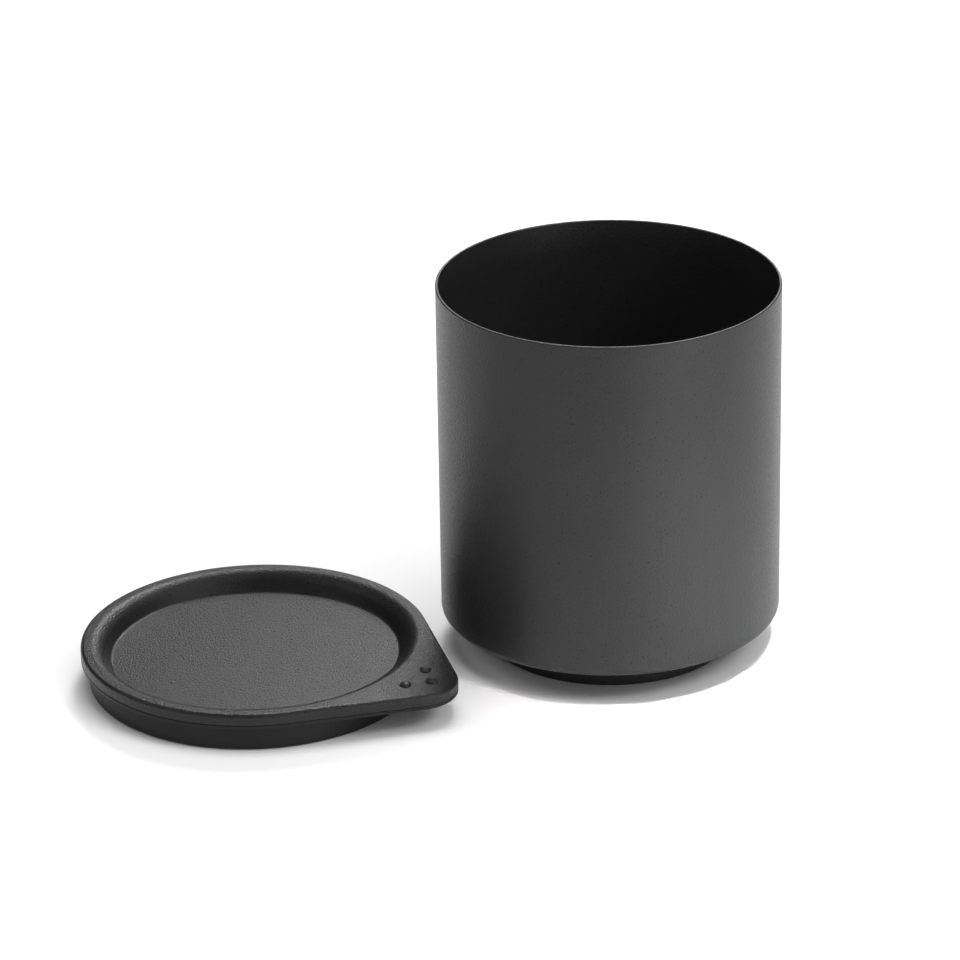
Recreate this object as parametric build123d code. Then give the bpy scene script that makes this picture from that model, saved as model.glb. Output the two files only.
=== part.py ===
from build123d import *
import math
import os

# Round storage pot with a lift-off lid, in millimetres.
# Origin: centre of the pot's foot on the floor. +Z up, -Y towards the viewer.
# The lid lies beside the pot, right side up, with its corner turned towards the pot's front.

# Pot
POT_RADIUS = 39.0               # outside of the steel wall
POT_HEIGHT = 87.4               # floor to rim, foot included
POT_WALL = 0.7                  # coated sheet
POT_CORNER_RADIUS = 1.8         # outside, where the wall turns into the bottom
POT_RIM_CHAMFER = 0.2           # both edges of the rim

# Foot
FOOT_INSET = 10.6               # from the pot's wall
FOOT_HEIGHT = 7.3               # floor to the underside of the shell
FOOT_WALL = 2.0
FOOT_FLOOR = 1.8
FOOT_EDGE_CHAMFER = 0.6         # lower outside edge
FOOT_HUB_RADIUS = 9.0           # inner ring that carries the middle of the shell
FOOT_HUB_WALL = 1.6

# Lid outline: a circle drawn out to one rounded corner by two tangent lines
LID_OVERHANG = 0.7              # past the pot's wall
LID_CORNER_HALF_ANGLE = 45.3    # degrees between the corner's axis and each side's normal
LID_CORNER_RADIUS = 9.7
LID_EDGE_HEIGHT = 3.5           # from the flange's underside to the cover's top

# Lid base: a flange that seats on the pot's rim, a plug skirt that goes into its mouth, and a spigot
# that centres the cover
PLUG_DEPTH = 6.0                # skirt, below the flange
PLUG_CLEARANCE = 0.25           # radial, to the pot's bore
PLUG_WALL = 1.5
PLUG_EDGE_CHAMFER = 0.8         # lower outside edge
FLANGE_THICKNESS = 0.9
FLANGE_EDGE_CHAMFER = 0.3       # lower outside edge
SEAM_CHAMFER = 0.12             # outside, both edges of the seam between flange and cover
SPIGOT_WALL = 0.8
SPIGOT_HEIGHT = 1.0             # above the flange
SPIGOT_CLEARANCE = 0.15         # to the inside of the cover's wall
RIBS = 3                        # upright ribs on the skirt that centre the lid
RIB_START = -30.0               # degrees from the corner's axis
RIB_RADIUS = 0.9
RIB_CLEARANCE = 0.05            # radial, to the pot's bore

# Lid cover: a thin cap with a round dish, which stands on the flange
COVER_WALL = 1.2
COVER_EDGE_RADIUS = 1.1         # upper outside edge
CREST_LAND = 1.65               # level strip between the cover's edge and the dish's crest
CREST_RADIUS = 3.0
DISH_DEPTH = 3.9
DISH_SLOPE = 60.0               # degrees from level, at the steepest
DISH_FLOOR_RADIUS = 0.8         # at the foot of the slope, made as one straight bevel

# Three domes near the corner, on three corners of a square turned onto the corner's axis
DOME_RADIUS = 1.2
DOME_HEIGHT = 0.7
DOME_INSET = 5.0                # outermost dome, from the corner's tip
DOME_SPACING = 6.0              # side of the square

# Where the lid lies
LID_GAP = 4.9                   # to the pot's wall
LID_BEARING = 193.23            # degrees, from the pot's axis to the lid's centre
LID_TURN = -31.3                # degrees, direction of the corner

# Making
OVERCUT = 5.0                   # how far cutters run past what they cut
SHARPEST = 0.15                 # smallest bevel of an inside corner
WALL_SHARE = 0.45               # most of a wall that the bevel of one edge may take
BEVEL_PER_RADIUS = 2 - math.sqrt(2)     # bevel of a square corner that touches a rounding's arc

# Sizes that follow
POT_BORE_RADIUS = POT_RADIUS - POT_WALL
FOOT_RADIUS = POT_RADIUS - FOOT_INSET
LID_RADIUS = POT_RADIUS + LID_OVERHANG
CORNER_CENTRE = (LID_RADIUS - LID_CORNER_RADIUS) / math.cos(math.radians(LID_CORNER_HALF_ANGLE))
LID_HEIGHT = PLUG_DEPTH + LID_EDGE_HEIGHT
PLUG_RADIUS = POT_BORE_RADIUS - PLUG_CLEARANCE
PLUG_BORE_RADIUS = PLUG_RADIUS - PLUG_WALL
RIB_REACH = POT_BORE_RADIUS - RIB_CLEARANCE
SEAM_HEIGHT = PLUG_DEPTH + FLANGE_THICKNESS
SPIGOT_TOP = SEAM_HEIGHT + SPIGOT_HEIGHT
SPIGOT_INSET = COVER_WALL + SPIGOT_CLEARANCE
CREST_TOP_RADIUS = LID_RADIUS - COVER_EDGE_RADIUS - CREST_LAND
DISH_FLOOR_Z = LID_HEIGHT - DISH_DEPTH


def revolved(points):
    """Turn a closed (radius, z) outline once about Z."""
    return revolve(make_face(Polyline(*[(r, 0, z) for r, z in points], close=True)), Axis.Z)


def ring(outer, inner, bottom, top):
    return revolved([(inner, bottom), (outer, bottom), (outer, top), (inner, top)])


def disc(radius, bottom, top):
    return ring(radius, 0, bottom, top)


def disc_at(x, y, radius, bottom, top):
    return Pos(x, y, 0) * disc(radius, bottom, top)


def lowest_edges(solid):
    return solid.edges().group_by(Axis.Z)[0]


def highest_edges(solid):
    return solid.edges().group_by(Axis.Z)[-1]


def pot_shell():
    """One cup of even wall, bent round the bottom corner."""
    cup = disc(POT_RADIUS, FOOT_HEIGHT, POT_HEIGHT)
    cup = fillet(lowest_edges(cup), POT_CORNER_RADIUS)
    hollow = disc(POT_BORE_RADIUS, FOOT_HEIGHT + POT_WALL, POT_HEIGHT + OVERCUT)
    hollow = chamfer(lowest_edges(hollow), max((POT_CORNER_RADIUS - POT_WALL) * BEVEL_PER_RADIUS, SHARPEST))
    cup -= hollow
    return chamfer(highest_edges(cup), min(POT_RIM_CHAMFER, POT_WALL * WALL_SHARE))


def pot_foot():
    """A shallow cup, flat below, whose wall and inner ring carry the shell."""
    foot = disc(FOOT_RADIUS, 0, FOOT_HEIGHT)
    foot = chamfer(lowest_edges(foot), FOOT_EDGE_CHAMFER)
    foot -= ring(FOOT_RADIUS - FOOT_WALL, FOOT_HUB_RADIUS, FOOT_FLOOR, FOOT_HEIGHT + OVERCUT)
    foot -= disc(FOOT_HUB_RADIUS - FOOT_HUB_WALL, FOOT_FLOOR, FOOT_HEIGHT + OVERCUT)
    return foot


def drop_face(inset, height):
    """The lid's outline, drawn in by an inset, with its corner on +X."""
    angle = LID_CORNER_HALF_ANGLE
    large = LID_RADIUS - inset
    small = LID_CORNER_RADIUS - inset
    along = math.cos(math.radians(angle))
    across = math.sin(math.radians(angle))
    round_side = CenterArc((0, 0), large, angle, 360 - 2 * angle)
    corner = CenterArc((CORNER_CENTRE, 0), small, -angle, 2 * angle)
    sides = [
        Line((large * along, side * large * across), (CORNER_CENTRE + small * along, side * small * across))
        for side in (-1, 1)
    ]
    return Pos(0, 0, height) * make_face(Curve() + [round_side, corner] + sides)


def drop_block(inset, bottom, top):
    return extrude(drop_face(inset, bottom), top - bottom)


def dish_body(outset, top):
    """What fills the dish up to a height, grown all round by an outset, which hides its crest."""
    slope = math.radians(DISH_SLOPE)
    turn_height = (DISH_FLOOR_RADIUS + CREST_RADIUS) * (1 - math.cos(slope))
    turn_width = (DISH_FLOOR_RADIUS + CREST_RADIUS) * math.sin(slope)
    floor_radius = CREST_TOP_RADIUS - turn_width - (DISH_DEPTH - turn_height) / math.tan(slope)
    low = DISH_FLOOR_RADIUS + outset
    high = CREST_RADIUS - outset

    def low_point(angle):
        return (floor_radius + low * math.sin(angle), 0,
                DISH_FLOOR_Z + DISH_FLOOR_RADIUS - low * math.cos(angle))

    def high_point(angle):
        return (CREST_TOP_RADIUS - high * math.sin(angle), 0,
                LID_HEIGHT - CREST_RADIUS + high * math.cos(angle))

    axis_bottom = (0, 0, DISH_FLOOR_Z - outset)
    axis_top = (0, 0, top)
    rim_top = (CREST_TOP_RADIUS, 0, top)
    if outset:
        crest = Line(high_point(slope), high_point(0))
    else:
        crest = ThreePointArc(high_point(slope), high_point(slope / 2), high_point(0))
    outline = [
        Line(axis_bottom, low_point(0)),
        Line(low_point(0), low_point(slope)),
        Line(low_point(slope), high_point(slope)),
        crest,
        Line(high_point(0), rim_top),
        Line(rim_top, axis_top),
        Line(axis_top, axis_bottom),
    ]
    return revolve(make_face(Curve() + outline), Axis.Z)


def dome(x, y):
    """A low cap of a ball on the cover's top, with its root inside the cover's wall."""
    ball = (DOME_RADIUS ** 2 + DOME_HEIGHT ** 2) / (2 * DOME_HEIGHT)
    root = LID_HEIGHT - COVER_WALL / 2
    keep = disc_at(x, y, ball, root, LID_HEIGHT + DOME_HEIGHT + OVERCUT)
    return Pos(x, y, LID_HEIGHT + DOME_HEIGHT - ball) * Sphere(ball) & keep


def dome_places():
    outermost = CORNER_CENTRE + LID_CORNER_RADIUS - DOME_INSET
    step = DOME_SPACING / math.sqrt(2)
    return [(outermost, 0), (outermost - step, step), (outermost - step, -step)]


def lid_cover():
    """A thin moulding: the drop-shaped cap, the dish let into it, and the domes."""
    cap = drop_block(0, SEAM_HEIGHT, LID_HEIGHT)
    cap = fillet(highest_edges(cap), COVER_EDGE_RADIUS)
    cap = chamfer(lowest_edges(cap), SEAM_CHAMFER)
    cap -= drop_block(COVER_WALL, SEAM_HEIGHT - OVERCUT, LID_HEIGHT - COVER_WALL)
    cover = cap + dish_body(COVER_WALL, LID_HEIGHT) - dish_body(0, LID_HEIGHT + OVERCUT)
    for x, y in dome_places():
        cover += dome(x, y)
    return cover


def lid_base():
    """The flange under the cover, the spigot that centres it, and below the plug skirt with its ribs."""
    flange = drop_block(0, PLUG_DEPTH, SEAM_HEIGHT)
    flange = chamfer(highest_edges(flange), SEAM_CHAMFER)
    flange = chamfer(lowest_edges(flange), FLANGE_EDGE_CHAMFER)
    spigot = drop_block(SPIGOT_INSET, SEAM_HEIGHT, SPIGOT_TOP)
    spigot -= drop_block(SPIGOT_INSET + SPIGOT_WALL, SEAM_HEIGHT, SPIGOT_TOP + OVERCUT)
    skirt = disc(PLUG_RADIUS, 0, SEAM_HEIGHT)
    skirt = chamfer(lowest_edges(skirt), PLUG_EDGE_CHAMFER)
    for index in range(RIBS):
        angle = math.radians(RIB_START + index * 360 / RIBS)
        centre = RIB_REACH - RIB_RADIUS
        skirt += disc_at(centre * math.cos(angle), centre * math.sin(angle), RIB_RADIUS,
                         PLUG_EDGE_CHAMFER, PLUG_DEPTH)
    return flange + spigot + skirt - disc(PLUG_BORE_RADIUS, -OVERCUT, SPIGOT_TOP + OVERCUT)


def beside_pot(lid_piece):
    away = POT_RADIUS + LID_GAP + LID_RADIUS
    bearing = math.radians(LID_BEARING)
    return Pos(away * math.cos(bearing), away * math.sin(bearing), 0) * Rot(0, 0, LID_TURN) * lid_piece


os.makedirs("parts", exist_ok=True)
export_step(pot_shell(), "parts/pot_shell.step")
export_step(pot_foot(), "parts/pot_foot.step")
export_step(beside_pot(lid_cover()), "parts/lid_cover.step")
export_step(beside_pot(lid_base()), "parts/lid_base.step")
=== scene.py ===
import math
from collections import namedtuple

import bmesh
import bpy
from bpy.props import FloatProperty, FloatVectorProperty, IntProperty, PointerProperty
from mathutils import Matrix, Vector


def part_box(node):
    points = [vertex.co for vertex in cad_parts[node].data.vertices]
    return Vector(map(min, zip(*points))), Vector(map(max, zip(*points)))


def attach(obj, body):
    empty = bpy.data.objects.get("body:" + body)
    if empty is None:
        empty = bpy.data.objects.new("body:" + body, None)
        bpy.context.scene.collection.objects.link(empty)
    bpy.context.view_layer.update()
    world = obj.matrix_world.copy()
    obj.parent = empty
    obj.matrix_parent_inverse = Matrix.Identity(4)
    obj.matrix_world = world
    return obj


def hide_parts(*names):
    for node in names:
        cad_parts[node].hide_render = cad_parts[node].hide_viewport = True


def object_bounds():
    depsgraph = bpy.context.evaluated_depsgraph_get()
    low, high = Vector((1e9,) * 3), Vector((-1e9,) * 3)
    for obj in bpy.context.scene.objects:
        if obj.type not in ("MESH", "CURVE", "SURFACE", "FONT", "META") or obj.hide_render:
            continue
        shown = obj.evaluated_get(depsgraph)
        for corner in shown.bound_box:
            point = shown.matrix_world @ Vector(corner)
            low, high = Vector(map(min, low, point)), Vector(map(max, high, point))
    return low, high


bl_info = {
    "name": "Storage pot with a drop-shaped lid",
    "version": (1, 0, 0),
    "blender": (4, 5, 0),
    "location": "3D View > Sidebar > Storage Pot",
    "description": "Builds a coated steel storage pot and its dished lid around the packed solids",
    "category": "Add Mesh",
}

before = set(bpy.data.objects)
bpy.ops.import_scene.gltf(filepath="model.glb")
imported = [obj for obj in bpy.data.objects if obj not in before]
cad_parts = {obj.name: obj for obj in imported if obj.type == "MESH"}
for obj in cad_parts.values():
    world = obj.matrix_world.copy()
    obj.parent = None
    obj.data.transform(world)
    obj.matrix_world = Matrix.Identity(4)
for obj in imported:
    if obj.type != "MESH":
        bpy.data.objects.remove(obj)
CAD_BOX = [list(corner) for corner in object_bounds()]

MM = 0.001
SHELL_LOW, SHELL_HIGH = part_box("pot_shell")
FOOT_LOW, FOOT_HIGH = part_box("pot_foot")
COVER_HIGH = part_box("lid_cover")[1]
BASE_LOW, BASE_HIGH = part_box("lid_base")

# How finely round shapes are divided
CIRCLE_STEPS = 256        # a full circle, and the lid's whole outline
SIDE_STEPS = 24           # each straight side of the lid
CORNER_STEPS = 16         # the lid's rounded corner
DOME_STEPS = 32           # round each dome, and from its top to its bottom
ROUNDING_STEP = math.radians(10)

# Edges that turn more than this keep a sharp crease in the shading.
SHARP_ANGLE = math.radians(40)
# How much large faces outweigh small ones in the shading normals: the most that the modifier takes
AREA_WEIGHT = 100

# Distance between two rings of a shell while they are bridged
STOREY = 1.0

# Share of the floor's radius that is solid, before it starts to fade
FLOOR_SOLID = 0.55
FLOOR_ROUGHNESS = 0.775

# A soft rectangular light that faces a point: degrees round from the camera's side to the right, degrees
# up, and then its distance, width and height in metres and its brightness
Panel = namedtuple("Panel", "name azimuth elevation distance width height brightness")

# Panels that light the object and show in its reflections
PANELS = (
    Panel("front_right_low", 40, 4, 1.6, 0.64, 0.2, 16.0),
    Panel("front_right", 44, 16, 1.6, 0.68, 0.45, 1.2),
    Panel("front_left_low", 302, 4, 1.6, 1.42, 0.2, 1.8),
    Panel("front_right_high", 60, 42, 1.6, 0.4, 0.4, 11.0),
    Panel("right_high", 100, 48, 1.6, 1.1, 0.6, 1.2),
    Panel("left_high", 270, 46, 1.6, 0.86, 0.8, 1.3),
    Panel("left_front", 330, 18, 1.6, 0.68, 0.68, 0.9),
    Panel("back_high", 173, 42, 1.0, 0.21, 0.28, 25.0),
    Panel("back_left", 186, 40, 1.0, 0.21, 0.3, 2.5),
    Panel("back", 170, 24, 1.0, 0.21, 0.26, 4.0),
    Panel("back_right", 150, 20, 1.0, 0.21, 0.4, 0.8),
    Panel("overhead_front", 40, 64, 1.6, 0.86, 0.56, 1.8),
)

# Panels that only fill the shadows. They show in no reflection.
FILLS = (
    Panel("overhead_fill", 0, 90, 1.6, 0.98, 0.98, 4.0),
    Panel("back_fill", 173, 42, 1.0, 0.4, 0.4, 2.0),
    Panel("front_right_fill", 50, 40, 1.6, 0.8, 0.8, 2.4),
    Panel("right_fill", 100, 48, 1.6, 0.8, 0.8, 1.2),
    Panel("left_fill", 285, 46, 1.6, 0.8, 0.8, 1.2),
)

# A narrow lamp over the floor at the pot's right. The bright floor there shows in the wall as its soft
# highlight.
FLOOR_LAMP = Panel("floor_lamp", 48, 80, 1.0, 0.1, 0.1, 5.0)
FLOOR_LAMP_AIM = Vector((0.082, -0.074, 0.0))
FLOOR_LAMP_SPREAD = math.radians(12)


def length(name, description, millimetres):
    return FloatProperty(name=name, description=description, default=millimetres * MM,
                         min=0.0, unit="LENGTH", precision=5)


def angle(name, description, degrees):
    return FloatProperty(name=name, description=description, default=math.radians(degrees),
                         unit="ROTATION")


def share(name, description, value):
    return FloatProperty(name=name, description=description, default=value, min=0.0, max=1.0,
                         subtype="FACTOR")


def colour(name, description, grey, tint=0.0):
    """A grey that leans to blue by a tint."""
    return FloatVectorProperty(name=name, description=description, size=4, subtype="COLOR",
                               default=(grey, grey, grey * (1 + tint), 1.0), min=0.0, max=1.0)


def brightness(name, description, value):
    return FloatProperty(name=name, description=description, default=value, min=0.0)


# Settings

class PotSizes(bpy.types.PropertyGroup):
    """Sizes of the pot's wall and foot"""
    wall: length("Wall", "Thickness of the coated sheet", 0.7)
    corner: length("Bottom corner", "Outside rounding where the wall turns into the bottom", 1.8)
    rim: length("Rim rounding", "Rounding of both edges of the rim", 0.3)
    foot_wall: length("Foot wall", "Thickness of the foot's upright wall", 2.0)
    foot_floor: length("Foot floor", "Thickness of the foot's underside", 1.8)
    foot_edge: length("Foot edge", "Rounding of the foot's lower outside edge", 0.8)
    hub_radius: length("Hub radius", "Outside of the ring that carries the middle of the shell", 9.0)
    hub_wall: length("Hub wall", "Thickness of that ring", 1.6)


class LidSizes(bpy.types.PropertyGroup):
    """Sizes of the lid's base and cover"""
    overhang: length("Overhang", "How far the lid reaches past the pot's wall", 0.7)
    corner_half_angle: angle("Corner half angle", "From the corner's axis to each side's normal", 45.3)
    corner_radius: length("Corner radius", "Rounding of the drop's corner, seen from above", 9.7)
    turn: angle("Turn", "Direction of the corner", -31.3)
    flange_bottom: length("Flange height", "Underside of the flange above the skirt's edge", 6.0)
    flange: length("Flange thickness", "Thickness of the flange under the cover", 0.9)
    flange_edge: length("Flange edge", "Rounding of the flange's lower edge", 0.3)
    seam_edge: length("Seam edge", "Rounding of both edges of the seam on the lid's side", 0.2)
    spigot_wall: length("Spigot wall", "Thickness of the ring that centres the cover", 0.8)
    spigot_height: length("Spigot height", "How far that ring stands above the flange", 1.0)
    spigot_clearance: length("Spigot clearance", "Between that ring and the cover's wall", 0.15)
    plug_clearance: length("Plug clearance", "Between the skirt and the pot's bore, on each side", 0.25)
    plug_wall: length("Plug wall", "Thickness of the skirt", 1.5)
    plug_edge: length("Plug edge", "Rounding of the skirt's lower edge", 1.0)
    rib_count: IntProperty(name="Ribs", description="Upright ribs that centre the skirt", default=3,
                           min=0)
    rib_start: angle("First rib", "From the corner's axis to the first rib", -30.0)
    rib_radius: length("Rib radius", "Rounding of each rib", 1.6)
    rib_clearance: length("Rib clearance", "Between a rib and the pot's bore", 0.05)
    cover_wall: length("Cover wall", "Thickness of the cover", 1.2)
    cover_edge: length("Cover edge", "Rounding of the cover's upper edge", 0.8)
    crest_land: length("Crest land", "Level strip between the cover's edge and the crest", 1.5)
    crest: length("Crest rounding", "Rounding at the top of the dish's slope", 3.8)
    dish_depth: length("Dish depth", "From the cover's top to the dish's floor", 3.9)
    dish_slope: angle("Dish slope", "Steepest slope of the dish, from level", 60.0)
    dish_fillet: length("Dish fillet", "Rounding at the foot of the slope", 0.8)
    dome_radius: length("Dome radius", "Radius of each dome where it meets the cover", 1.33)
    dome_height: length("Dome height", "How far each dome stands up", 0.7)
    dome_inset: length("Dome inset", "Outermost dome, from the corner's tip", 5.3)
    dome_spacing: length("Dome spacing", "Side of the square that the domes stand on", 6.0)


class Finishes(bpy.types.PropertyGroup):
    """Colours and surface of each material"""
    coating: colour("Coating", "Powder coat on the pot's steel", 0.018, 0.03)
    coating_roughness: share("Coating roughness", "How matt the powder coat is", 0.38)
    coating_gloss: share("Coating gloss", "Strength of the powder coat's reflections", 0.4)
    coating_grain: length("Coating grain", "Height of the powder coat's fine pebbling", 0.15)
    cover: colour("Cover", "Moulded plastic of the lid's cover", 0.012, 0.03)
    cover_roughness: share("Cover roughness", "How matt the cover is", 0.36)
    cover_gloss: share("Cover gloss", "Strength of the cover's reflections", 0.3)
    cover_grain: length("Cover grain", "Height of the cover's moulded texture", 0.16)
    base: colour("Base", "Plastic of the lid's base", 0.01, 0.02)
    base_roughness: share("Base roughness", "How matt the lid's base is", 0.4)
    base_gloss: share("Base and foot gloss", "Strength of the base's and the foot's reflections", 0.2)
    foot: colour("Foot", "Plastic of the pot's foot", 0.01, 0.02)
    foot_roughness: share("Foot roughness", "How matt the foot is", 0.45)


class StageSettings(bpy.types.PropertyGroup):
    """Camera, floor and lights"""
    lens: FloatProperty(name="Lens", description="Focal length in millimetres", default=181.97,
                        min=1.0)
    camera_place: FloatVectorProperty(name="Camera place", description="Where the camera stands",
                                      default=(-0.02961, -1.01366, 0.49005), unit="LENGTH",
                                      subtype="TRANSLATION")
    camera_pitch: angle("Camera pitch", "How far the camera looks down", 23.982)
    camera_roll: angle("Camera roll", "Turn about the line of sight", -0.996)
    floor_grey: share("Floor", "How pale the floor is", 0.9)
    floor_radius: length("Floor radius", "Where the floor has faded into the white surround", 600.0)
    light_level: brightness("Light level", "Brightness of all panels together", 1.0)


class StoragePotSettings(bpy.types.PropertyGroup):
    """All settings of the storage pot"""
    pot: PointerProperty(type=PotSizes)
    lid: PointerProperty(type=LidSizes)
    finish: PointerProperty(type=Finishes)
    stage: PointerProperty(type=StageSettings)


# Shapes made of rings, one bridged to the next

def arc_of_points(bm, start, centre, turn, steps):
    """One vertex spun about a centre. Returns the first and the last vertex."""
    first = bm.verts.new(start)
    made = bmesh.ops.spin(bm, geom=[first], cent=centre, axis=(0, 0, 1), angle=turn, steps=steps,
                          use_duplicate=False)
    last = next(part for part in made["geom_last"] if isinstance(part, bmesh.types.BMVert))
    return first, last


def circle_outline(bm, radius):
    bmesh.ops.create_circle(bm, segments=CIRCLE_STEPS, radius=radius)


def drop_outline(bm, lid, inset):
    """The lid's outline, drawn in by an inset: a round side and a rounded corner joined by tangents."""
    half = lid.corner_half_angle
    centre = corner_centre(lid)
    large = lid_radius(lid) - inset
    small = lid.corner_radius - inset
    along, across = math.cos(half), math.sin(half)
    round_steps = CIRCLE_STEPS - 2 * SIDE_STEPS - CORNER_STEPS
    first, last = arc_of_points(bm, (large * along, large * across, 0), (0, 0, 0),
                                math.tau - 2 * half, round_steps)
    tip_first, tip_last = arc_of_points(bm, (centre + small * along, -small * across, 0),
                                        (centre, 0, 0), 2 * half, CORNER_STEPS)
    sides = [bm.edges.new((last, tip_first)), bm.edges.new((tip_last, first))]
    bmesh.ops.subdivide_edges(bm, edges=sides, cuts=SIDE_STEPS - 1)


# One closed line of a section: its height, the rounding its edges get at the end, and what draws it
Ring = namedtuple("Ring", "height rounding draw")


def circle(radius, height, rounding=0.0):
    return Ring(height, rounding, lambda bm: circle_outline(bm, radius))


def drop(lid, inset, height, rounding=0.0):
    return Ring(height, rounding, lambda bm: drop_outline(bm, lid, inset))


def ring_shell(rings, closed=False):
    """A shell through rings in order, closed from the last to the first, or else filled at both ends."""
    bm = bmesh.new()
    mark = bm.edges.layers.int.new("ring")

    def edges_of(index):
        return [edge for edge in bm.edges if edge[mark] == index]

    # Rings at one height are bridged badly, so each is drawn on a storey of its own and moved home later.
    for index, ring in enumerate(rings, 1):
        ring.draw(bm)
        for edge in edges_of(0):
            edge[mark] = index
        verts = [vert for vert in bm.verts if vert.co.z < STOREY / 2]
        bmesh.ops.translate(bm, vec=(0, 0, index * STOREY), verts=verts)
    count = len(rings)
    for index in range(1, count):
        bmesh.ops.bridge_loops(bm, edges=edges_of(index) + edges_of(index + 1))
    if closed:
        bmesh.ops.bridge_loops(bm, edges=edges_of(count) + edges_of(1))
    else:
        for index in (1, count):
            cap = bmesh.ops.edgeloop_fill(bm, edges=edges_of(index))["faces"]
            bmesh.ops.poke(bm, faces=cap)
    for index, ring in enumerate(rings, 1):
        verts = [vert for vert in bm.verts if abs(vert.co.z - index * STOREY) < STOREY / 2]
        bmesh.ops.translate(bm, vec=(0, 0, ring.height - index * STOREY), verts=verts)
    bmesh.ops.recalc_face_normals(bm, faces=bm.faces)
    for index, ring in enumerate(rings, 1):
        if ring.rounding > 0:
            round_ring(bm, edges_of(index), ring.rounding)
    bm.edges.layers.int.remove(mark)
    return bm


def round_ring(bm, edges, radius):
    """Bevels one ring of edges to a true radius, whatever the angle between its faces."""
    turn = max(edge.calc_face_angle() for edge in edges)
    steps = max(2, math.ceil(turn / ROUNDING_STEP))
    bmesh.ops.bevel(bm, geom=edges, offset=radius * math.tan(turn / 2), offset_type="OFFSET",
                    segments=steps, profile=0.5, affect="EDGES", clamp_overlap=False, material=-1)


def piece(name, bm, body, replaced, material):
    """Turns a mesh into a finished piece that rides on its body and stands for its solid."""
    for edge in bm.edges:
        edge.smooth = edge.calc_face_angle() < SHARP_ANGLE
    mesh = bpy.data.meshes.new(name)
    bm.to_mesh(mesh)
    bm.free()
    mesh.shade_smooth()
    obj = bpy.data.objects.new(name, mesh)
    bpy.context.collection.objects.link(obj)
    # Normals weighted by face area keep a flat even beside a rounding.
    modifier = obj.modifiers.new("even flats", "WEIGHTED_NORMAL")
    modifier.weight = AREA_WEIGHT
    modifier.keep_sharp = True
    obj.data.materials.append(material)
    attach(obj, body)
    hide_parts(replaced)
    return obj


# Sizes that follow from the frame and the settings

def pot_radius():
    return (SHELL_HIGH.x - SHELL_LOW.x) / 2


def bore_radius(settings):
    return pot_radius() - settings.pot.wall


def lid_radius(lid):
    return pot_radius() + lid.overhang


def corner_centre(lid):
    """Distance from the lid's centre to the centre of its corner's rounding."""
    return (lid_radius(lid) - lid.corner_radius) / math.cos(lid.corner_half_angle)


def lid_place(lid):
    """Where the lid lies. Its round side touches the left and the back of its box."""
    centre = Vector((BASE_LOW.x + lid_radius(lid), BASE_HIGH.y - lid_radius(lid), 0))
    return Matrix.Translation(centre) @ Matrix.Rotation(lid.turn, 4, "Z")


def seam_height(lid):
    return lid.flange_bottom + lid.flange


def cover_top(lid):
    return COVER_HIGH.z - lid.dome_height


# Shader trees

class Value:
    """One output in a shader tree. Arithmetic on it adds Math nodes."""

    def __init__(self, tree, socket):
        self.tree = tree
        self.socket = socket

    def math(self, operation, *others, first=None):
        inputs = [self if first is None else first, *others]
        return self.tree.add("ShaderNodeMath", {"operation": operation}, dict(enumerate(inputs)))

    def __add__(self, other):
        return self.math("ADD", other)

    def __sub__(self, other):
        return self.math("SUBTRACT", other)

    def __rsub__(self, other):
        return self.math("SUBTRACT", self, first=other)

    def __mul__(self, other):
        return self.math("MULTIPLY", other)

    __radd__ = __add__
    __rmul__ = __mul__


class Finish:
    """A material whose nodes are added one by one."""

    def __init__(self, name):
        self.material = bpy.data.materials.new(name)
        self.material.use_nodes = True
        self.nodes = self.material.node_tree.nodes
        self.shader = self.nodes["Principled BSDF"]
        self.place = self.add("ShaderNodeTexCoord", output="Object")

    def add(self, kind, settings=None, inputs=None, output=0):
        """A node with its settings made first, then its inputs set or linked. Returns one output."""
        node = self.nodes.new(kind)
        for name, value in (settings or {}).items():
            setattr(node, name, value)
        for name, value in (inputs or {}).items():
            self.feed(node.inputs[name], value)
        return Value(self, node.outputs[output])

    def feed(self, socket, value):
        if isinstance(value, Value):
            self.material.node_tree.links.new(value.socket, socket)
        else:
            socket.default_value = value

    def noise(self, size, detail, roughness=0.5):
        """Noise from 0 to 1 whose features are about a size across."""
        return self.add("ShaderNodeTexNoise", {}, {
            "Vector": self.place, "Scale": 1 / size, "Detail": detail, "Roughness": roughness})

    def cells(self, size):
        """Distance to the nearest of many scattered points, a size apart."""
        return self.add("ShaderNodeTexVoronoi", {"feature": "F1"}, {
            "Vector": self.place, "Scale": 1 / size})

    def between(self, factor, low, high):
        """A colour between two others. The node's colours are its inputs 6 and 7 and its output 2."""
        return self.add("ShaderNodeMix", {"data_type": "RGBA"}, {
            "Factor": factor, 6: low, 7: high}, output=2)

    def fade(self, near, far):
        """Falls softly from 1 to 0 between two distances from the origin."""
        distance = self.add("ShaderNodeVectorMath", {"operation": "LENGTH"}, {0: self.place},
                            output="Value")
        return self.add("ShaderNodeMapRange", {"interpolation_type": "SMOOTHSTEP"}, {
            "Value": distance, "From Min": near, "From Max": far, "To Min": 1.0, "To Max": 0.0})

    def relief(self, height, depth):
        """Surface relief from a 0 to 1 height."""
        return self.add("ShaderNodeBump", {}, {"Height": height, "Strength": 1.0, "Distance": depth})

    def surface(self, inputs):
        """Feeds the shader's sockets and returns the finished material."""
        for name, value in inputs.items():
            self.feed(self.shader.inputs[name], value)
        return self.material


def shaded(grey, factor):
    """A colour made lighter or darker."""
    return [part * factor for part in grey[:3]] + [1.0]


def mixed(first, second, second_share):
    """Two patterns in one, the second by a share."""
    return first * (1 - second_share) + second * second_share


def varied(middle, pattern, spread):
    """A value that follows a 0 to 1 pattern, evenly up and down from its middle."""
    return middle + (pattern - 0.5) * spread


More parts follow.
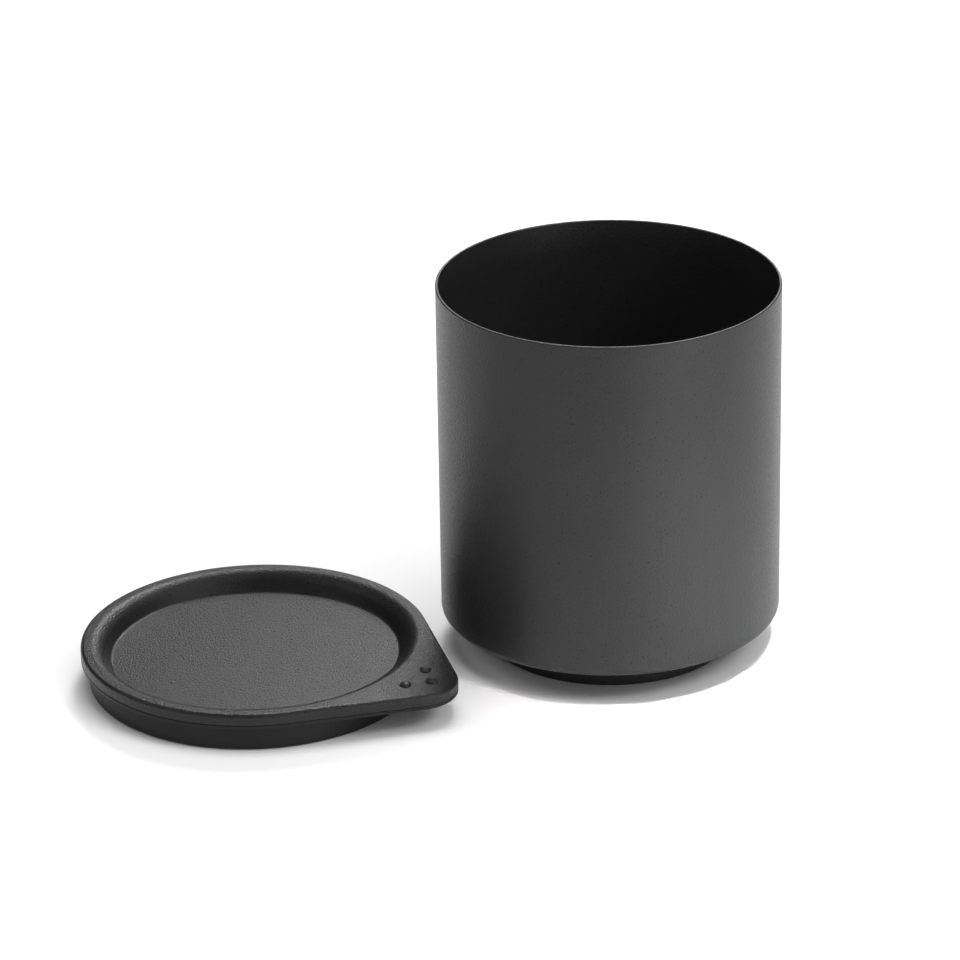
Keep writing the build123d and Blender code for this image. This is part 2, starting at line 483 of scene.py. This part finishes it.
def coating_material(finish):
    """Powder coat: a dark film with fine pebbling, slightly uneven in tone and gloss."""
    made = Finish("powder_coat")
    pebble = made.noise(size=0.48 * MM, detail=2.0)
    fine = made.noise(size=0.32 * MM, detail=1.0)
    cloud = made.noise(size=14 * MM, detail=3.0)
    tone = mixed(cloud, fine, second_share=0.7)
    pebbling = mixed(pebble, fine, second_share=0.5)
    return made.surface({
        "Base Color": made.between(tone, shaded(finish.coating, 0.5), shaded(finish.coating, 1.5)),
        "Roughness": varied(finish.coating_roughness, fine, spread=0.5),
        "Specular IOR Level": finish.coating_gloss,
        "Normal": made.relief(pebbling, depth=finish.coating_grain),
    })


def cover_material(finish):
    """Moulded plastic with a fine spark-eroded grain."""
    made = Finish("grained_plastic")
    grain = made.noise(size=0.46 * MM, detail=2.0)
    pits = made.cells(size=0.42 * MM)
    cloud = made.noise(size=18 * MM, detail=2.0)
    tone = mixed(cloud, grain, second_share=0.6)
    texture = mixed(grain, pits, second_share=0.4)
    return made.surface({
        "Base Color": made.between(tone, shaded(finish.cover, 0.6), shaded(finish.cover, 1.4)),
        "Roughness": varied(finish.cover_roughness, grain, spread=0.5),
        "Specular IOR Level": finish.cover_gloss,
        "Normal": made.relief(texture, depth=finish.cover_grain),
    })


def base_material(finish):
    """Plainer moulded plastic, with a trace of grain and flow."""
    made = Finish("smooth_plastic")
    grain = made.noise(size=0.5 * MM, detail=1.0)
    flow = made.noise(size=9 * MM, detail=2.0)
    return made.surface({
        "Base Color": made.between(flow, shaded(finish.base, 0.85), shaded(finish.base, 1.15)),
        "Roughness": varied(finish.base_roughness, flow, spread=0.08),
        "Specular IOR Level": finish.base_gloss,
        "Normal": made.relief(grain, depth=0.03 * MM),
    })


def foot_material(finish):
    """Matt plastic of the foot, with faint scuffs."""
    made = Finish("foot_plastic")
    grain = made.noise(size=0.6 * MM, detail=1.0)
    scuffs = made.noise(size=2.5 * MM, detail=4.0, roughness=0.7)
    return made.surface({
        "Base Color": made.between(scuffs, shaded(finish.foot, 0.8), shaded(finish.foot, 1.3)),
        "Roughness": varied(finish.foot_roughness, scuffs, spread=0.1),
        "Specular IOR Level": finish.base_gloss,
        "Normal": made.relief(grain, depth=0.02 * MM),
    })


# Operators

class STORAGEPOT_OT_shell(bpy.types.Operator):
    """Builds the coated steel wall and bottom of the pot"""
    bl_idname = "storage_pot.shell"
    bl_label = "Steel Shell"
    bl_options = {"REGISTER", "UNDO"}

    def execute(self, context):
        settings = context.scene.storage_pot
        pot = settings.pot
        bore = bore_radius(settings)
        bottom, top = SHELL_LOW.z, SHELL_HIGH.z
        flat = pot_radius() / 2
        bm = ring_shell([
            circle(flat, bottom),
            circle(pot_radius(), bottom, pot.corner),
            circle(pot_radius(), top, pot.rim),
            circle(bore, top, pot.rim),
            circle(bore, bottom + pot.wall, pot.corner - pot.wall),
            circle(flat, bottom + pot.wall),
        ])
        piece("pot_wall", bm, "pot", "pot_shell", coating_material(settings.finish))
        return {"FINISHED"}


class STORAGEPOT_OT_foot(bpy.types.Operator):
    """Builds the inset foot under the pot"""
    bl_idname = "storage_pot.foot"
    bl_label = "Foot"
    bl_options = {"REGISTER", "UNDO"}

    def execute(self, context):
        settings = context.scene.storage_pot
        pot = settings.pot
        radius = (FOOT_HIGH.x - FOOT_LOW.x) / 2
        floor, top = pot.foot_floor, FOOT_HIGH.z
        hub_bore = pot.hub_radius - pot.hub_wall
        bm = ring_shell([
            circle(radius / 2, FOOT_LOW.z),
            circle(radius, FOOT_LOW.z, pot.foot_edge),
            circle(radius, top),
            circle(radius - pot.foot_wall, top),
            circle(radius - pot.foot_wall, floor),
            circle(pot.hub_radius, floor),
            circle(pot.hub_radius, top),
            circle(hub_bore, top),
            circle(hub_bore, floor),
        ])
        piece("pot_base", bm, "pot", "pot_foot", foot_material(settings.finish))
        return {"FINISHED"}


class STORAGEPOT_OT_lid_base(bpy.types.Operator):
    """Builds the lid's flange, its spigot, the plug skirt and the ribs on it"""
    bl_idname = "storage_pot.lid_base"
    bl_label = "Lid Base"
    bl_options = {"REGISTER", "UNDO"}

    def execute(self, context):
        settings = context.scene.storage_pot
        lid = settings.lid
        plug = bore_radius(settings) - lid.plug_clearance
        plug_bore = plug - lid.plug_wall
        seam = seam_height(lid)
        spigot = lid.cover_wall + lid.spigot_clearance
        spigot_bore = spigot + lid.spigot_wall
        spigot_top = seam + lid.spigot_height
        bm = ring_shell([
            circle(plug, lid.flange_bottom),
            drop(lid, 0.0, lid.flange_bottom, lid.flange_edge),
            drop(lid, 0.0, seam, lid.seam_edge),
            drop(lid, spigot, seam),
            drop(lid, spigot, spigot_top),
            drop(lid, spigot_bore, spigot_top),
            drop(lid, spigot_bore, seam),
            circle(plug_bore, seam),
            circle(plug_bore, 0.0),
            circle(plug, 0.0, lid.plug_edge),
        ], closed=True)
        for index in range(lid.rib_count):
            turn = lid.rib_start + index * math.tau / lid.rib_count
            add_rib(bm, lid, bore_radius(settings) - lid.rib_clearance, turn)
        bmesh.ops.transform(bm, matrix=lid_place(lid), verts=bm.verts)
        piece("lid_flange", bm, "lid", "lid_base", base_material(settings.finish))
        return {"FINISHED"}


def add_rib(bm, lid, reach, turn):
    """A round upright rib that goes through the skirt's wall and stands a little out of it."""
    tall = lid.flange_bottom - lid.plug_edge
    place = Matrix.Translation((reach - lid.rib_radius, 0, lid.plug_edge + tall / 2))
    verts = bmesh.ops.create_cone(bm, cap_ends=True, segments=CIRCLE_STEPS, radius1=lid.rib_radius,
                                  radius2=lid.rib_radius, depth=tall, matrix=place)["verts"]
    bmesh.ops.rotate(bm, cent=(0, 0, 0), matrix=Matrix.Rotation(turn, 3, "Z"), verts=verts)


class STORAGEPOT_OT_lid_cover(bpy.types.Operator):
    """Builds the lid's cover with its dish, crest and three domes"""
    bl_idname = "storage_pot.lid_cover"
    bl_label = "Lid Cover"
    bl_options = {"REGISTER", "UNDO"}

    def execute(self, context):
        settings = context.scene.storage_pot
        lid = settings.lid
        top = cover_top(lid)
        under = top - lid.cover_wall
        floor_top = top - lid.dish_depth
        floor_under = floor_top - lid.cover_wall
        seam = seam_height(lid)
        slope = lid.dish_slope
        crest_start = lid_radius(lid) - lid.cover_edge - lid.crest_land
        # The radii at which the slope, drawn on, meets the levels of the cover's top and the dish's floor
        crest = crest_start - lid.crest * math.tan(slope / 2)
        floor = crest - lid.dish_depth / math.tan(slope)
        # How much further out the underside's corners lie, so that the wall stays even
        outer = lid.cover_wall * math.tan(slope / 2)
        bm = ring_shell([
            circle(floor / 2, floor_under),
            circle(floor + outer, floor_under, lid.dish_fillet + lid.cover_wall),
            circle(crest + outer, under, lid.crest - lid.cover_wall),
            drop(lid, lid.cover_wall, under),
            drop(lid, lid.cover_wall, seam),
            drop(lid, 0.0, seam, lid.seam_edge),
            drop(lid, 0.0, top, lid.cover_edge),
            circle(crest, top, lid.crest),
            circle(floor, floor_top, lid.dish_fillet),
            circle(floor / 2, floor_top),
        ])
        for x, y in dome_places(lid):
            add_dome(bm, lid, x, y, top)
        bmesh.ops.transform(bm, matrix=lid_place(lid), verts=bm.verts)
        piece("lid_top", bm, "lid", "lid_cover", cover_material(settings.finish))
        return {"FINISHED"}


def dome_places(lid):
    """Three corners of a square turned onto the corner's axis."""
    outermost = corner_centre(lid) + lid.corner_radius - lid.dome_inset
    step = lid.dome_spacing / math.sqrt(2)
    return [(outermost, 0.0), (outermost - step, step), (outermost - step, -step)]


def add_dome(bm, lid, x, y, top):
    """A flattened ball, half sunk in the cover's wall."""
    flattened = Vector((1, 1, lid.dome_height / lid.dome_radius))
    place = Matrix.LocRotScale(Vector((x, y, top)), None, flattened)
    bmesh.ops.create_uvsphere(bm, u_segments=DOME_STEPS, v_segments=DOME_STEPS,
                              radius=lid.dome_radius, matrix=place)


class STORAGEPOT_OT_stage(bpy.types.Operator):
    """Sets up the pale floor, the soft lights and the camera"""
    bl_idname = "storage_pot.stage"
    bl_label = "Stage"
    bl_options = {"REGISTER", "UNDO"}

    def execute(self, context):
        settings = context.scene.storage_pot
        stage = settings.stage
        add_floor(stage)
        add_surround()
        middle = (Vector(CAD_BOX[0]) + Vector(CAD_BOX[1])) / 2
        for panel in PANELS:
            add_panel(panel, middle, stage.light_level, mirrored=True)
        for panel in FILLS:
            add_panel(panel, middle, stage.light_level, mirrored=False)
        lamp = add_panel(FLOOR_LAMP, FLOOR_LAMP_AIM, stage.light_level, mirrored=False)
        lamp.data.spread = FLOOR_LAMP_SPREAD
        add_camera(stage)
        return {"FINISHED"}


def add_floor(stage):
    """A pale disc that thins out into the white surround."""
    bm = bmesh.new()
    bmesh.ops.create_circle(bm, cap_ends=True, segments=CIRCLE_STEPS, radius=stage.floor_radius)
    mesh = bpy.data.meshes.new("floor")
    bm.to_mesh(mesh)
    bm.free()
    floor = bpy.data.objects.new("floor", mesh)
    bpy.context.collection.objects.link(floor)
    made = Finish("floor_paper")
    grain = made.noise(size=40 * MM, detail=2.0)
    mesh.materials.append(made.surface({
        "Base Color": [stage.floor_grey] * 3 + [1.0],
        "Roughness": varied(FLOOR_ROUGHNESS, grain, spread=0.05),
        "Alpha": made.fade(stage.floor_radius * FLOOR_SOLID, stage.floor_radius),
    }))


def add_surround():
    """A white surround that is seen behind the floor but lights nothing."""
    world = bpy.data.worlds.new("surround")
    world.use_nodes = True
    background = world.node_tree.nodes["Background"]
    background.inputs["Color"].default_value = (1, 1, 1, 1)
    seen = world.cycles_visibility
    seen.diffuse = seen.glossy = False
    bpy.context.scene.world = world


def add_panel(panel, aim, level, mirrored):
    """Places one soft light, facing a point. The camera never sees it, and reflections only if mirrored."""
    azimuth = math.radians(panel.azimuth)
    elevation = math.radians(panel.elevation)
    away = Vector((math.sin(azimuth) * math.cos(elevation), -math.cos(azimuth) * math.cos(elevation),
                   math.sin(elevation)))
    data = bpy.data.lights.new(panel.name, "AREA")
    data.shape = "RECTANGLE"
    data.size = panel.width
    data.size_y = panel.height
    data.energy = panel.brightness * level * panel.width * panel.height * math.pi
    light = bpy.data.objects.new(panel.name, data)
    light.location = aim + away * panel.distance
    light.rotation_euler = away.to_track_quat("Z", "Y").to_euler()
    light.visible_camera = False
    light.visible_glossy = mirrored
    bpy.context.collection.objects.link(light)
    return light


def add_camera(stage):
    """The photo's camera, level at first, then pitched down and rolled."""
    data = bpy.data.cameras.new("camera")
    data.lens = stage.lens
    camera = bpy.data.objects.new("camera", data)
    tilt = Matrix.Rotation(math.pi / 2 - stage.camera_pitch, 4, "X")
    roll = Matrix.Rotation(stage.camera_roll, 4, "Z")
    camera.matrix_world = Matrix.Translation(stage.camera_place) @ tilt @ roll
    bpy.context.collection.objects.link(camera)
    bpy.context.scene.camera = camera
    bpy.context.scene.view_settings.view_transform = "Standard"


class STORAGEPOT_PT_panel(bpy.types.Panel):
    """Lists the settings and the steps that build the pot"""
    bl_idname = "STORAGEPOT_PT_panel"
    bl_label = "Storage Pot"
    bl_space_type = "VIEW_3D"
    bl_region_type = "UI"
    bl_category = "Storage Pot"

    def draw(self, context):
        settings = context.scene.storage_pot
        for title, group in (("Pot", settings.pot), ("Lid", settings.lid),
                             ("Finish", settings.finish), ("Stage", settings.stage)):
            box = self.layout.box()
            box.label(text=title)
            for name in group.bl_rna.properties.keys():
                if name not in ("rna_type", "name"):
                    box.prop(group, name)
        for operator in OPERATORS:
            self.layout.operator(operator.bl_idname)


SETTINGS = (PotSizes, LidSizes, Finishes, StageSettings, StoragePotSettings)
OPERATORS = (STORAGEPOT_OT_shell, STORAGEPOT_OT_foot, STORAGEPOT_OT_lid_base, STORAGEPOT_OT_lid_cover,
             STORAGEPOT_OT_stage)


def register():
    for cls in SETTINGS + OPERATORS + (STORAGEPOT_PT_panel,):
        bpy.utils.register_class(cls)
    bpy.types.Scene.storage_pot = PointerProperty(type=StoragePotSettings)


def unregister():
    del bpy.types.Scene.storage_pot
    for cls in reversed(SETTINGS + OPERATORS + (STORAGEPOT_PT_panel,)):
        bpy.utils.unregister_class(cls)


def main():
    register()
    bpy.ops.storage_pot.shell()
    bpy.ops.storage_pot.foot()
    bpy.ops.storage_pot.lid_base()
    bpy.ops.storage_pot.lid_cover()
    bpy.ops.storage_pot.stage()


if __name__ == "__main__":
    main()
